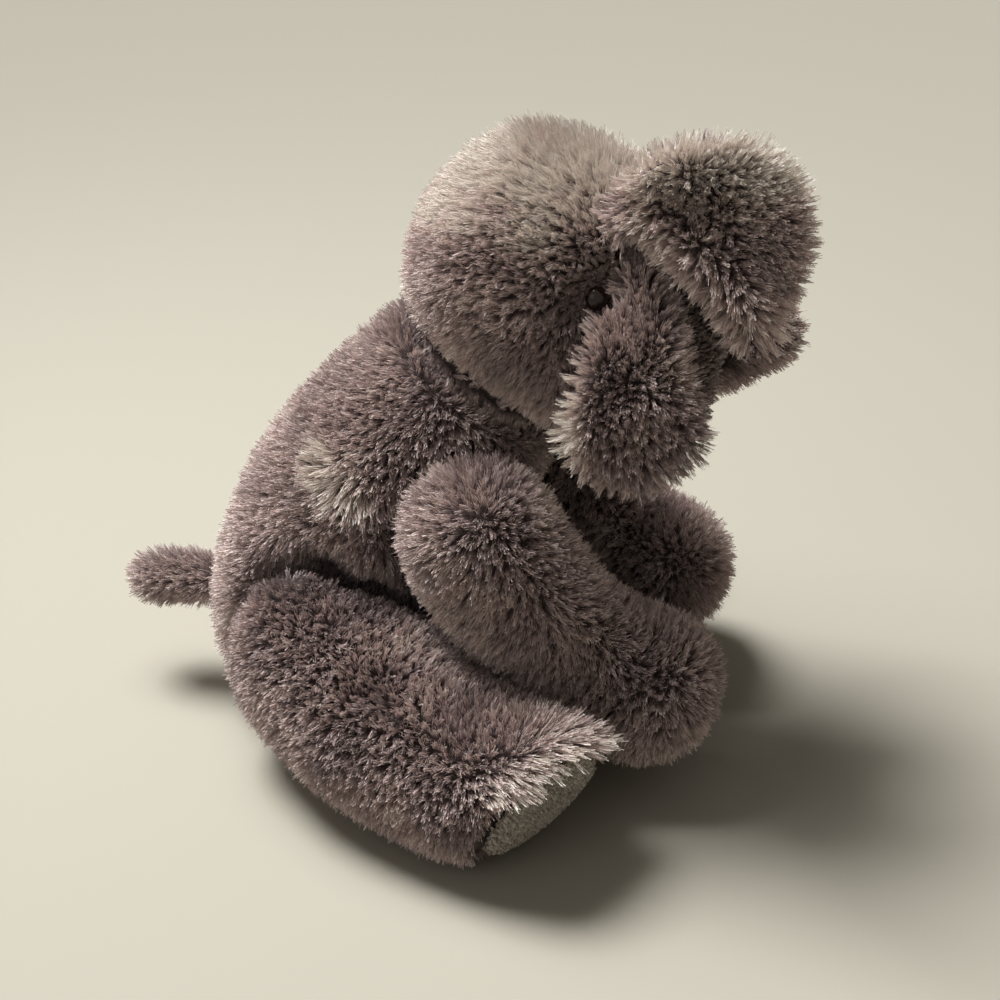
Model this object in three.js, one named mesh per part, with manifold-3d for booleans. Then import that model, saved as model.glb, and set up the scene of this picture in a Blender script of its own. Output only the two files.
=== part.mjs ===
// Plush elephant that sits on its seat with its head bowed: sleeves of fur fabric filled with soft
// stuffing, sewn on at the neck, shoulders, hips and tail, with lined ears, a curled trunk and bead eyes.
// Millimetres, +X the way the toy faces, +Y its left, +Z up, origin under the middle of its box.
import * as THREE from 'three';
import { mergeVertices } from 'three/addons/utils/BufferGeometryUtils.js';
import Module from 'manifold-3d';

const wasm = await Module();
wasm.setup();

// Fabric and gaps
const furFabric = 4; // backing with its pile lightly pressed
const sewnGap = 0.3; // between pieces that lie against each other
const swingGap = 0.8; // between a limb's root and what it swings against

// Body: a pear that leans forward, from the seat up to the neck
const bodyStations = [
  { x: -9, z: 46, halfWidth: 58, halfDepth: 58 },
  { x: 1, z: 85, halfWidth: 54, halfDepth: 53 },
  { x: 17, z: 114, halfWidth: 48, halfDepth: 47 },
  { x: 34, z: 139, halfWidth: 43, halfDepth: 42 },
  { x: 46, z: 156, halfWidth: 38, halfDepth: 38 },
];
const seatDrop = 60; // how far the seat's dome would reach below its station, before the flat is cut
const pouchRadius = 31; // pellet pouch in the seat
const pouchHeight = 22;
const pouchShape = { foot: 0.8, bulgeRise: 0.45, shoulder: 0.72, shoulderRise: 0.86 }; // shares of those

// Neck: a domed panel that the head rolls over
const neckDomeRadius = 72;
const neckGap = 0.9;
const neckMargin = 1; // fabric of the body left round the panel

// Head: an egg from the crown to the muzzle, bowed
const headStations = [
  { x: 50, z: 210, halfWidth: 43, halfDepth: 43 },
  { x: 66, z: 199, halfWidth: 48, halfDepth: 48.5 },
  { x: 86, z: 183, halfWidth: 47, halfDepth: 48 },
  { x: 102, z: 166, halfWidth: 40, halfDepth: 41 },
];
const crownDome = 25;
const muzzleDome = 20;

// Eyes: beads on shanks, held by washers inside the head
const eyeAlong = 0.53; // share of the head's spine
const eyeRise = 25; // degrees above the head's side
const eyeRadius = 4.2;
const eyeHeight = 3.6;
const shankRadius = 1.6;
const shankLength = 9;
const washerRadius = 6;
const washerThickness = 1.5;
const washerDepth = 0.9; // under the inside of the fabric
const eyeSink = 0.4; // seat pressed into the fabric under the bead

// Trunk: runs forward from the muzzle and curls up at its end
const trunkStations = [
  { x: 94, y: 0, z: 172, radius: 23 },
  { x: 113, y: 0, z: 166, radius: 21 },
  { x: 130, y: 0, z: 169, radius: 17.5 },
  { x: 145, y: 3, z: 176, radius: 14.5 },
  { x: 157, y: 9, z: 184, radius: 12.5 },
];
const tipThickness = 2.5;
const tipMargin = 2.5; // fabric left round the tip's disc
const tipShoulder = { reach: 0.85, rise: 0.7 }; // shares of the disc's radius and thickness

// Ears: large flaps, pinched where they meet the head, in a plane of their own with the pinch as origin
const earOutline = [
  { u: 8, v: 31 },
  { u: 38, v: 41 },
  { u: 58, v: 32 },
  { u: 65, v: 10 },
  { u: 60, v: -13 },
  { u: 45, v: -38 },
  { u: 33, v: -66 },
  { u: 11, v: -82 },
  { u: -11, v: -72 },
  { u: -9, v: -48 },
  { u: -3, v: -16 },
  { u: -3, v: 10 },
];
const earMiddle = { u: 27, v: -18 };
const earFurThickness = 9;
const earLiningThickness = 3.5;
const earSwellReach = 0.94; // share of a round swell that the flap has used up at its rim
const earPinchDepth = 24; // how far the pinch dips to the head
const earPinchWidth = 24;
const earPinchReach = 46;
const earPinchSlope = -38; // degrees, the fold's way across the flap
const earEyeGap = 2.5; // bare strip between the eye and the flap
const earAlong = 0.46;
const earRise = 52;
const earLean = 10; // degrees that the flap's top leans to the head
const earDroop = 60; // degrees that the left flap hangs further down

// Arms: narrow at the wrist, and sewn on by the inner side of their upper end
const armStations = [
  { x: 48, y: 55, z: 114, radius: 26 },
  { x: 62, y: 54, z: 90, radius: 26 },
  { x: 88, y: 48, z: 61, radius: 22 },
  { x: 115, y: 44, z: 41, radius: 28 },
];
const armDome = 24;

// Legs: stretched out on the floor and splayed from a tall thigh, each cut slantwise for its sole
const legStations = [
  { x: -18, y: 36, z: 49.5, halfHeight: 47, halfWidth: 40 },
  { x: 17, y: 72, z: 36, halfHeight: 36.5, halfWidth: 38 },
  { x: 50, y: 94, z: 31, halfHeight: 31.5, halfWidth: 32 },
  { x: 80, y: 108, z: 30, halfHeight: 31.5, halfWidth: 31.5 },
  { x: 100, y: 117, z: 28, halfHeight: 30, halfWidth: 30 },
];
const soleStation = legStations[3];
const soleMargin = 2.5; // fabric left round the sole
const soleRadius = soleStation.halfHeight - soleMargin;
const soleSplay = 37; // degrees outward from straight ahead
const soleTilt = 25; // degrees down from level
const legRootDome = 24;
const soleCrown = 5;
const soleRim = 1.5;
const soleShoulder = { reach: 0.7, rise: 0.6 }; // shares of the sole's radius and crown

// Tail: a stub
const tailStations = [
  { x: -56, z: 48, radius: 8 },
  { x: -82, z: 47, radius: 11 },
  { x: -98, z: 46, radius: 10.5 },
];
const tailRootDome = 0.5;
const tailDome = 9;

// How far each sewn-on piece swings about its seam, in degrees
const armSwing = { low: -15, high: 0.5 }; // down to the thigh that it rests on
const legSwing = { low: -1.5, high: 10 }; // up to the arm that rests on it
const tailSwing = { low: -20, high: 20 };
const trunkSwing = { low: -12, high: 12 };
const earSwing = { inward: 8, outward: 20 };

// Facets
const fine = { sides: 16, rings: 8, capRings: 3 };
const coarse = { sides: 8, rings: 5, capRings: 2 };
const roundSegments = 24;
const beadSegments = 12;
const domeSteps = 6;
const cutEndDome = 8; // past an end that a disc closes, and cut off with it
const earAround = 26;
const earRings = 3;

const yAxis = new THREE.Vector3(0, 1, 0);
const zAxis = new THREE.Vector3(0, 0, 1);
const right = -1;
const left = 1;

// Solids from geometries, and meshes from solids

function solidOf(geometry) {
  const bare = geometry.clone();
  bare.deleteAttribute('normal');
  bare.deleteAttribute('uv');
  const merged = mergeVertices(bare, 1e-5);
  return new wasm.Manifold(new wasm.Mesh({
    numProp: 3,
    vertProperties: new Float32Array(merged.attributes.position.array),
    triVerts: new Uint32Array(merged.index.array),
  }));
}

function meshOf(name, solid, material) {
  const { vertProperties, triVerts } = solid.getMesh();
  const geometry = new THREE.BufferGeometry();
  geometry.setAttribute('position', new THREE.BufferAttribute(vertProperties, 3));
  geometry.setIndex(new THREE.BufferAttribute(triVerts, 1));
  geometry.computeVertexNormals();
  const mesh = new THREE.Mesh(geometry, material.clone());
  mesh.name = name;
  return mesh;
}

function turned(geometry, pivot, axis, degrees) {
  const turn = new THREE.Matrix4().makeRotationAxis(axis, THREE.MathUtils.degToRad(degrees));
  return geometry.clone()
    .translate(-pivot.x, -pivot.y, -pivot.z)
    .applyMatrix4(turn)
    .translate(pivot.x, pivot.y, pivot.z);
}

// What the larger piece takes from a smaller one as that swings between its limits
function cutBySwing(solid, larger, pivot, axis, swing) {
  const stops = [swing.low, 0, swing.high];
  return stops.reduce(
    (rest, stop) => rest.subtract(solidOf(turned(larger, pivot, axis, -stop))),
    solid,
  );
}

function cutBelow(solid, height) {
  const span = 1000;
  const box = new THREE.BoxGeometry(span, span, span).translate(0, 0, height - span / 2);
  return solid.subtract(solidOf(box));
}

// What lies past a plane is cut off, with the plane's normal pointing to what goes
function cutPast(solid, point, normal) {
  const span = 300;
  const box = new THREE.BoxGeometry(span, span, span)
    .translate(0, 0, span / 2)
    .applyQuaternion(new THREE.Quaternion().setFromUnitVectors(zAxis, normal))
    .translate(point.x, point.y, point.z);
  return solid.subtract(solidOf(box));
}

// A revolved piece, with its profile's height along a direction from a point
function revolvedAt(profile, segments, point, direction) {
  const outline = profile.map(([radius, height]) => new THREE.Vector2(radius, height));
  return new THREE.LatheGeometry(outline, segments)
    .applyQuaternion(new THREE.Quaternion().setFromUnitVectors(yAxis, direction))
    .translate(point.x, point.y, point.z);
}

// Stuffed forms: sections that swell and taper along a spine, with a dome at each end

function stuffedForm(stations, side, startDome, endDome) {
  const spine = new THREE.CatmullRomCurve3(stations.map((s) => s.at));
  const sizes = new THREE.CatmullRomCurve3(stations.map((s) => new THREE.Vector3(s.wide, s.deep, 0)));
  return { spine, sizes, side, startDome, endDome };
}

function sectionOf(form, share) {
  const along = form.spine.getTangent(share);
  const across = form.side.clone().addScaledVector(along, -form.side.dot(along)).normalize();
  const over = along.clone().cross(across);
  const size = form.sizes.getPoint(share);
  return { centre: form.spine.getPoint(share), along, across, over, wide: size.x, deep: size.y };
}

function pointOn(section, angle, shrink = 1) {
  return section.centre.clone()
    .addScaledVector(section.across, section.wide * shrink * Math.cos(angle))
    .addScaledVector(section.over, section.deep * shrink * Math.sin(angle));
}

function surfaceAt(form, share, degrees) {
  const section = sectionOf(form, share);
  const angle = THREE.MathUtils.degToRad(degrees);
  const point = pointOn(section, angle);
  return { point, normal: point.clone().sub(section.centre).normalize() };
}

function formGeometry(form, detail, grow = 0) {
  const points = [];
  const ring = (section, shrink) => {
    for (let k = 0; k < detail.sides; k += 1) {
      points.push(pointOn(section, (2 * Math.PI * k) / detail.sides, shrink));
    }
  };
  const domed = (share, reach, step) => {
    const section = sectionOf(form, share);
    const bend = (Math.PI / 2) * (step / detail.capRings);
    section.centre.addScaledVector(section.along, reach * Math.sin(bend));
    ring(section, Math.cos(bend));
  };
  for (let step = detail.capRings - 1; step > 0; step -= 1) domed(0, -form.startDome, step);
  for (let k = 0; k <= detail.rings; k += 1) ring(sectionOf(form, k / detail.rings), 1);
  for (let step = 1; step < detail.capRings; step += 1) domed(1, form.endDome, step);
  const first = sectionOf(form, 0);
  const last = sectionOf(form, 1);
  const startPole = points.length;
  points.push(first.centre.clone().addScaledVector(first.along, -form.startDome));
  points.push(last.centre.clone().addScaledVector(last.along, form.endDome));

  const faces = [];
  const ringCount = startPole / detail.sides;
  const lastRing = (ringCount - 1) * detail.sides;
  for (let k = 0; k < detail.sides; k += 1) {
    const next = (k + 1) % detail.sides;
    faces.push(startPole, next, k);
    faces.push(startPole + 1, lastRing + k, lastRing + next);
    for (let base = 0; base < lastRing; base += detail.sides) {
      faces.push(base + k, base + next, base + detail.sides + k);
      faces.push(base + next, base + detail.sides + next, base + detail.sides + k);
    }
  }
  const geometry = new THREE.BufferGeometry().setFromPoints(points);
  geometry.setIndex(faces);
  return grown(geometry, grow);
}

// Each vertex moved out along its normal
function grown(geometry, distance) {
  geometry.computeVertexNormals();
  const { position, normal } = geometry.attributes;
  const at = new THREE.Vector3();
  const out = new THREE.Vector3();
  for (let k = 0; k < position.count; k += 1) {
    at.fromBufferAttribute(position, k);
    out.fromBufferAttribute(normal, k);
    at.addScaledVector(out, distance);
    position.setXYZ(k, at.x, at.y, at.z);
  }
  return geometry;
}

// A sleeve of fabric and the stuffing that fills it, both cut flat by the floor
function sleeveAndStuffing(form) {
  const outside = cutBelow(solidOf(formGeometry(form, fine)), 0);
  const inside = cutBelow(solidOf(formGeometry(form, coarse, -furFabric)), furFabric);
  const filling = solidOf(formGeometry(form, coarse, -furFabric - sewnGap));
  return {
    skin: outside.subtract(inside),
    stuffing: cutBelow(filling, furFabric + sewnGap),
  };
}

function both(pair, change) {
  return { skin: change(pair.skin), stuffing: change(pair.stuffing) };
}

// Materials

function fabricMaterial(colour, roughness) {
  return new THREE.MeshStandardMaterial({ color: colour, roughness, metalness: 0 });
}

const furMaterial = fabricMaterial('#857a78', 0.95);
const stuffingMaterial = fabricMaterial('#f1efe9', 1);
const soleMaterial = fabricMaterial('#b5aca2', 0.9);
const liningMaterial = fabricMaterial('#b9a9a4', 0.9);
const pouchMaterial = fabricMaterial('#d9d6cf', 0.9);
const beadMaterial = fabricMaterial('#15100e', 0.15);
const washerMaterial = fabricMaterial('#e4e2dc', 0.5);

// Forms

const inProfile = (s) => ({ at: new THREE.Vector3(s.x, 0, s.z), wide: s.halfWidth, deep: s.halfDepth });
const roundInProfile = (s) => ({ at: new THREE.Vector3(s.x, 0, s.z), wide: s.radius, deep: s.radius });
const roundOnSide = (side) => (s) => (
  { at: new THREE.Vector3(s.x, side * s.y, s.z), wide: s.radius, deep: s.radius }
);
const tallOnSide = (side) => (s) => (
  { at: new THREE.Vector3(s.x, side * s.y, s.z), wide: s.halfHeight, deep: s.halfWidth }
);

const bodyForm = stuffedForm(bodyStations.map(inProfile), yAxis, seatDrop, neckDomeRadius);
const headForm = stuffedForm(headStations.map(inProfile), yAxis, crownDome, muzzleDome);
const trunkForm = stuffedForm(trunkStations.map(roundOnSide(right)), yAxis, trunkStations[0].radius, cutEndDome);
const tailForm = stuffedForm(tailStations.map(roundInProfile), yAxis, tailRootDome, tailDome);

const parts = new THREE.Group();

function addPair(name, pair) {
  parts.add(meshOf(`${name}_skin`, pair.skin, furMaterial));
  parts.add(meshOf(`${name}_stuffing`, pair.stuffing, stuffingMaterial));
}

// Body with the pellet pouch in its seat, open at the neck

const neck = sectionOf(bodyForm, 1);
const neckTop = neck.centre;
const bodySweep = formGeometry(bodyForm, fine, swingGap);

function addBody() {
  const pair = both(sleeveAndStuffing(bodyForm), (solid) => cutPast(solid, neckTop, neck.along));
  const seat = bodyStations[0];
  const pouchFloor = new THREE.Vector3(seat.x, 0, furFabric + sewnGap);
  const pouchProfile = (gap, bottom) => [
    [0, bottom],
    [pouchRadius * pouchShape.foot + gap, bottom],
    [pouchRadius + gap, pouchHeight * pouchShape.bulgeRise],
    [pouchRadius * pouchShape.shoulder + gap, pouchHeight * pouchShape.shoulderRise + gap],
    [0, pouchHeight + gap],
  ];
  const pouch = solidOf(revolvedAt(pouchProfile(0, 0), beadSegments, pouchFloor, zAxis));
  const pocket = solidOf(revolvedAt(pouchProfile(sewnGap, -furFabric), beadSegments, pouchFloor, zAxis));
  addPair('torso', { skin: pair.skin, stuffing: pair.stuffing.subtract(pocket) });
  parts.add(meshOf('pellet_pouch', pouch, pouchMaterial));
}

// Neck panel: flat under, domed on top about a point inside the chest

const neckRim = Math.min(neck.wide, neck.deep) - neckMargin;
const neckDrop = Math.sqrt(neckDomeRadius ** 2 - neckRim ** 2);
const neckPivot = neckTop.clone().addScaledVector(neck.along, -neckDrop);

function addNeck() {
  const rimAngle = Math.asin(neckRim / neckDomeRadius);
  const profile = [[0, neckDrop + sewnGap]];
  for (let k = domeSteps; k >= 0; k -= 1) {
    const angle = (rimAngle * k) / domeSteps;
    profile.push([neckDomeRadius * Math.sin(angle), neckDomeRadius * Math.cos(angle) + sewnGap * 2]);
  }
  const dome = revolvedAt(profile, roundSegments, neckPivot, neck.along);
  parts.add(meshOf('neck_panel', solidOf(dome), furMaterial));
}

// Head, open where it sits over the neck, with its eyes

function eyeSeat(side) {
  return surfaceAt(headForm, eyeAlong, side === left ? eyeRise : 180 - eyeRise);
}

// A bead with its shank, drawn from the shank's end to the top of its dome
function beadProfile() {
  const profile = [[0, -shankLength], [shankRadius, -shankLength], [shankRadius, 0], [eyeRadius, 0]];
  for (let k = 1; k < domeSteps; k += 1) {
    const angle = (Math.PI / 2) * (k / domeSteps);
    profile.push([eyeRadius * Math.cos(angle), eyeHeight * Math.sin(angle)]);
  }
  profile.push([0, eyeHeight]);
  return profile;
}

function discProfile(radius, bottom, top) {
  return [[0, bottom], [radius, bottom], [radius, top], [0, top]];
}

function addHead() {
  const socketRadius = neckDomeRadius + 2 * sewnGap + neckGap;
  const socket = new THREE.SphereGeometry(socketRadius, roundSegments, roundSegments / 2)
    .applyQuaternion(new THREE.Quaternion().setFromUnitVectors(yAxis, neck.along))
    .translate(neckPivot.x, neckPivot.y, neckPivot.z);
  const pair = both(sleeveAndStuffing(headForm), (solid) => solid.subtract(solidOf(socket)));
  const holeRadius = shankRadius + sewnGap;
  const washerTop = -furFabric - washerDepth;
  const pocketFloor = -shankLength - washerDepth;
  for (const side of [right, left]) {
    const { point, normal } = eyeSeat(side);
    const shaped = (profile) => solidOf(revolvedAt(profile, beadSegments, point, normal));
    const hole = shaped(discProfile(holeRadius, pocketFloor, eyeHeight));
    const seat = shaped(discProfile(eyeRadius + sewnGap, -eyeSink, eyeHeight));
    const pocket = shaped(discProfile(washerRadius + sewnGap, pocketFloor, washerTop + sewnGap));
    pair.skin = pair.skin.subtract(hole).subtract(seat).subtract(pocket);
    pair.stuffing = pair.stuffing.subtract(pocket);
    const washer = shaped([
      [holeRadius, washerTop - washerThickness],
      [washerRadius, washerTop - washerThickness],
      [washerRadius, washerTop],
      [holeRadius, washerTop],
      [holeRadius, washerTop - washerThickness],
    ]);
    const sideName = side === left ? 'left' : 'right';
    parts.add(meshOf(`eye_${sideName}`, shaped(beadProfile()), beadMaterial));
    parts.add(meshOf(`eye_washer_${sideName}`, washer, washerMaterial));
  }
  addPair('head', pair);
}

const headSweep = formGeometry(headForm, fine, swingGap);

// Trunk, closed by a pale disc at its end

function addTrunk() {
  const muzzle = sectionOf(headForm, 1);
  const pivot = muzzle.centre.addScaledVector(muzzle.along, muzzleDome);
  const end = sectionOf(trunkForm, 1);
  const cut = both(sleeveAndStuffing(trunkForm), (solid) => (
    cutPast(cutBySwing(solid, headSweep, pivot, yAxis, trunkSwing), end.centre, end.along)
  ));
  addPair('trunk', cut);
  const tipRadius = end.wide - tipMargin;
  const profile = [
    [0, sewnGap],
    [tipRadius, sewnGap],
    [tipRadius * tipShoulder.reach, tipThickness * tipShoulder.rise + sewnGap],
    [0, tipThickness + sewnGap],
  ];
  parts.add(meshOf('trunk_tip', solidOf(revolvedAt(profile, beadSegments, end.centre, end.along)), soleMaterial));
}

// Ears: a fur panel outside and a lining inside, along one pinched and curved flap

function earFlapDip(u, v) {
  const slope = THREE.MathUtils.degToRad(earPinchSlope);
  const along = u * Math.cos(slope) + v * Math.sin(slope);
  const aside = v * Math.cos(slope) - u * Math.sin(slope);
  const fade = along > 0 ? Math.exp(-((along / earPinchReach) ** 2)) : 1;
  return -earPinchDepth * fade * Math.exp(-((aside / earPinchWidth) ** 2));
}

// The flap between two depths, each fading to the flap's edge
function earPanel(inner, outer) {
  const outline = new THREE.CatmullRomCurve3(
    earOutline.map((p) => new THREE.Vector3(p.u, p.v, 0)), true, 'centripetal',
  );
  const rim = outline.getPoints(earAround).slice(0, earAround);
  const points = [];
  const place = (from, share, depth) => {
    const u = THREE.MathUtils.lerp(earMiddle.u, from.x, share);
    const v = THREE.MathUtils.lerp(earMiddle.v, from.y, share);
    const swell = Math.sqrt(1 - (share * earSwellReach) ** 2);
    points.push(new THREE.Vector3(u, v, earFlapDip(u, v) + depth * swell));
  };
  const middle = new THREE.Vector3(earMiddle.u, earMiddle.v, 0);
  for (const depth of [inner, outer]) {
    place(middle, 0, depth);
    for (let r = 1; r <= earRings; r += 1) {
      rim.forEach((from) => place(from, Math.sin((Math.PI / 2) * (r / earRings)), depth));
    }
  }
  const faces = [];
  const layer = 1 + earRings * earAround;
  for (let k = 0; k < earAround; k += 1) {
    const next = (k + 1) % earAround;
    faces.push(0, 1 + k, 1 + next, layer, layer + 1 + next, layer + 1 + k);
    for (let r = 0; r < earRings - 1; r += 1) {
      const here = 1 + r * earAround;
      const there = here + earAround;
      faces.push(here + k, there + k, there + next, here + k, there + next, here + next);
      faces.push(layer + here + k, layer + there + next, layer + there + k);
      faces.push(layer + here + k, layer + here + next, layer + there + next);
    }
    const edge = 1 + (earRings - 1) * earAround;
    faces.push(edge + k, layer + edge + k, edge + next, edge + next, layer + edge + k, layer + edge + next);
  }
  const geometry = new THREE.BufferGeometry().setFromPoints(points);
  geometry.setIndex(faces);
  return geometry;
}

// The flap's own axes: u forward, v up and w out from the head, drawn for the right side
function placedEar(geometry, side, seat) {
  const placed = geometry.clone()
    .translate(0, 0, earPinchDepth)
    .rotateX(Math.PI / 2)
    .rotateX(THREE.MathUtils.degToRad(-earLean));
  if (side === left) placed.rotateY(THREE.MathUtils.degToRad(earDroop));
  if (side === left) placed.applyMatrix4(new THREE.Matrix4().makeScale(1, -1, 1));
  if (side === left) placed.index.array.reverse();
  return placed.translate(seat.x, seat.y, seat.z);
}

function addEar(side) {
  const sideName = side === left ? 'left' : 'right';
  const seat = surfaceAt(headForm, earAlong, side === left ? earRise : 180 - earRise).point;
  const furDepth = earFurThickness - sewnGap / 2;
  const fur = solidOf(placedEar(earPanel(sewnGap / 2, furDepth), side, seat));
  const lining = solidOf(placedEar(earPanel(-earLiningThickness, -sewnGap / 2), side, seat));
  const swing = side === left
    ? { low: -earSwing.inward, high: earSwing.outward }
    : { low: -earSwing.outward, high: earSwing.inward };
  const eye = eyeSeat(side).point;
  const eyeClear = new THREE.SphereGeometry(eyeRadius + earEyeGap, beadSegments, beadSegments / 2)
    .translate(eye.x, eye.y, eye.z);
  const cut = (solid) => cutBySwing(
    cutBySwing(solid, headSweep, seat, zAxis, swing), eyeClear, seat, zAxis, swing,
  );
  parts.add(meshOf(`ear_${sideName}_fur`, cut(fur), furMaterial));
  parts.add(meshOf(`ear_${sideName}_lining`, cut(lining), liningMaterial));
}

// Limbs

function addArm(side) {
  const form = stuffedForm(armStations.map(roundOnSide(side)), yAxis, armDome, armDome);
  const shoulder = form.spine.getPoint(0);
  const cut = both(sleeveAndStuffing(form), (solid) => (
    cutBySwing(solid, bodySweep, shoulder, yAxis, armSwing)
  ));
  addPair(side === left ? 'arm_left' : 'arm_right', cut);
}

function addLeg(side) {
  const sideName = side === left ? 'left' : 'right';
  const form = stuffedForm(legStations.map(tallOnSide(side)), zAxis, legRootDome, cutEndDome);
  const hip = new THREE.Vector3(bodyStations[0].x, side * bodyStations[0].halfWidth, legStations[0].z);
  const soleCentre = tallOnSide(side)(soleStation).at;
  const facing = new THREE.Vector3(1, 0, 0)
    .applyAxisAngle(yAxis, THREE.MathUtils.degToRad(soleTilt))
    .applyAxisAngle(zAxis, THREE.MathUtils.degToRad(side * soleSplay));
  const cut = both(sleeveAndStuffing(form), (solid) => (
    cutPast(cutBySwing(solid, bodySweep, hip, yAxis, legSwing), soleCentre, facing)
  ));
  addPair(`leg_${sideName}`, cut);
  const profile = [
    [0, sewnGap],
    [soleRadius, sewnGap],
    [soleRadius, sewnGap + soleRim],
    [soleRadius * soleShoulder.reach, sewnGap + soleRim + (soleCrown - soleRim) * soleShoulder.rise],
    [0, sewnGap + soleCrown],
  ];
  const sole = solidOf(revolvedAt(profile, roundSegments, soleCentre, facing));
  parts.add(meshOf(`sole_${sideName}`, cutBelow(sole, 0), soleMaterial));
}

function addTail() {
  const seat = bodyStations[0];
  const pivot = new THREE.Vector3(seat.x - seat.halfDepth, 0, tailStations[0].z);
  addPair('tail', both(sleeveAndStuffing(tailForm), (solid) => (
    cutBySwing(solid, bodySweep, pivot, yAxis, tailSwing)
  )));
}

addBody();
addNeck();
addHead();
addTrunk();
for (const side of [right, left]) {
  addEar(side);
  addArm(side);
  addLeg(side);
}
addTail();

// The origin lies under the middle of the box
const box = new THREE.Box3().setFromObject(parts);
const middle = box.getCenter(new THREE.Vector3());
parts.position.set(-middle.x, -middle.y, -box.min.z);

const elephant = new THREE.Group();
elephant.add(parts);

export default elephant;
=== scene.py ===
import math

import bmesh
import bpy
import numpy as np
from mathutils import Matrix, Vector
from mathutils.bvhtree import BVHTree


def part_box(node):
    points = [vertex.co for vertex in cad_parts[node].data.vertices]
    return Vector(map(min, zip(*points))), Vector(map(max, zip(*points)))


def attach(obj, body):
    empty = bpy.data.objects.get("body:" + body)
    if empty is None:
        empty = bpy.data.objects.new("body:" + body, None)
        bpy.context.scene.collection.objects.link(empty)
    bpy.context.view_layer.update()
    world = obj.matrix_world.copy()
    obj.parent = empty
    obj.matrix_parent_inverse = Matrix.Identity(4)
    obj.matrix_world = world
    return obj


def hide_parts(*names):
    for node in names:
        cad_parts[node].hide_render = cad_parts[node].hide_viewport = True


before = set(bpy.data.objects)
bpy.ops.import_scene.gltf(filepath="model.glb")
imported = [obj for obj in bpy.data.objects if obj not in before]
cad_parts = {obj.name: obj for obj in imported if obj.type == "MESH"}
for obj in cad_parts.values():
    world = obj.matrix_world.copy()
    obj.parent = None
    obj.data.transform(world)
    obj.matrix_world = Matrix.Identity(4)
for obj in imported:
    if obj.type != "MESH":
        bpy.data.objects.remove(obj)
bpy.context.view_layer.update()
scene = bpy.context.scene
scene.view_settings.view_transform = "Standard"
print("frame loaded:", len(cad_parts), "nodes")


# Node helpers

def paint(text):
    values = [int(text[k:k + 2], 16) / 255 for k in (1, 3, 5)]
    linear = [v / 12.92 if v <= 0.04045 else ((v + 0.055) / 1.055) ** 2.4 for v in values]
    return (*linear, 1)


def feed(tree, socket, value):
    if isinstance(value, bpy.types.NodeSocket):
        tree.links.new(value, socket)
    else:
        socket.default_value = value


def put(tree, kind, values=None, **settings):
    node = tree.nodes.new(kind)
    for key, value in settings.items():
        setattr(node, key, value)
    for key, value in (values or {}).items():
        if isinstance(key, int):
            socket = node.inputs[key]
        else:
            socket = next(s for s in node.inputs if s.name == key and s.enabled)
        feed(tree, socket, value)
    return node


def out(node, name=None):
    return next(s for s in node.outputs if s.enabled and name in (None, s.name))


def reckon(tree, operation, a, b=0.0, clamp=False):
    return out(put(tree, "ShaderNodeMath", {0: a, 1: b}, operation=operation, use_clamp=clamp))


def vectors(tree, operation, a, b=None, scale=None):
    values = {0: a}
    if b is not None:
        values[1] = b
    if scale is not None:
        values["Scale"] = scale
    return out(put(tree, "ShaderNodeVectorMath", values, operation=operation))


def blendColours(tree, share, a, b):
    node = put(tree, "ShaderNodeMix", data_type="RGBA")
    for key, value in ((0, share), (6, a), (7, b)):  # the colour sockets of this node
        feed(tree, node.inputs[key], value)
    return node.outputs[2]


def ramp(tree, value, low, high):
    node = put(tree, "ShaderNodeMapRange", interpolation_type="SMOOTHSTEP")
    for key, given in (("Value", value), ("From Min", low), ("From Max", high)):
        feed(tree, node.inputs[key], given)
    return node.outputs["Result"]


def groupEnds(tree):
    return tree.nodes.new("NodeGroupInput"), tree.nodes.new("NodeGroupOutput")


def socketsOf(tree, direction, *rows):
    for name, kind, default in rows:
        socket = tree.interface.new_socket(name, in_out=direction, socket_type="NodeSocket" + kind)
        if default is not None:
            socket.default_value = default


# Materials

bakeMap = "OFBake"  # across it runs a strand's tone, and up it from the strand's root to its tip

strandFade = {
    "middleAt": 0.5,  # share of a strand's length where the root's colour is gone
    "tipFrom": 0.45,
    # the tone turns cream on the flank tuft's own pale fibres and where painted light raises it
    "creamFrom": 0.6,  # tone above which a strand turns cream
    "palest": (0.86, 0.79, 0.72),
    "rootRoughness": 0.9,
    "tipGloss": 0.5,
    "sheenRoughness": 0.5,
}
# the darker root and paler tip are partly the fibre's own colour, partly painted shade deep in the pile and
# painted light on the tips
furFinish = {
    "root": "#574948",
    "middle": "#a38f90",
    "tip": "#dcc9c4",
    "cream": "#eddccd",
    "range": 1.1,
    "shine": 0.5,
    "sheen": 0.2,
}
napFinish = {
    "root": "#7d756c",
    "middle": "#b5ada2",
    "tip": "#d5cec3",
    "cream": "#d9d2c6",
    "range": 0.35,
    "shine": 0.15,
    "sheen": 0.2,
}
liningFinish = {
    "root": "#4d4340",
    "middle": "#8d7f7b",
    "tip": "#b5a6a1",
    "cream": "#b9aaa3",
    "range": 0.35,
    "shine": 0.15,
    "sheen": 0.2,
}
weave = {
    "patchScale": 60.0,
    "patchDetail": 3.0,
    "darkBelow": 0.05,
    "lightAbove": 0.45,
    "bump": 0.6,
    "depth": 0.0006,
}
backingCloth = {"dark": "#3a312f", "light": "#655955", "scale": 1100.0, "roughness": 0.95}
napCloth = {"dark": "#6a6159", "light": "#978d83", "scale": 1300.0, "roughness": 0.95}
pouchWeave = {"dark": "#b9b5ac", "light": "#dedad2", "scale": 1500.0, "roughness": 0.9}
washerPlastic = {"dark": "#cfccc5", "light": "#e6e4de", "scale": 300.0, "roughness": 0.5}
beadFinish = {
    "dark": "#0c0706",
    "light": "#2a1712",
    "cloudScale": 420.0,
    "cloudDetail": 2.0,
    "scuffs": (0.3, 0.8),
    "polish": 0.05,
    "wear": 0.08,
    "shine": 0.35,
}


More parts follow.
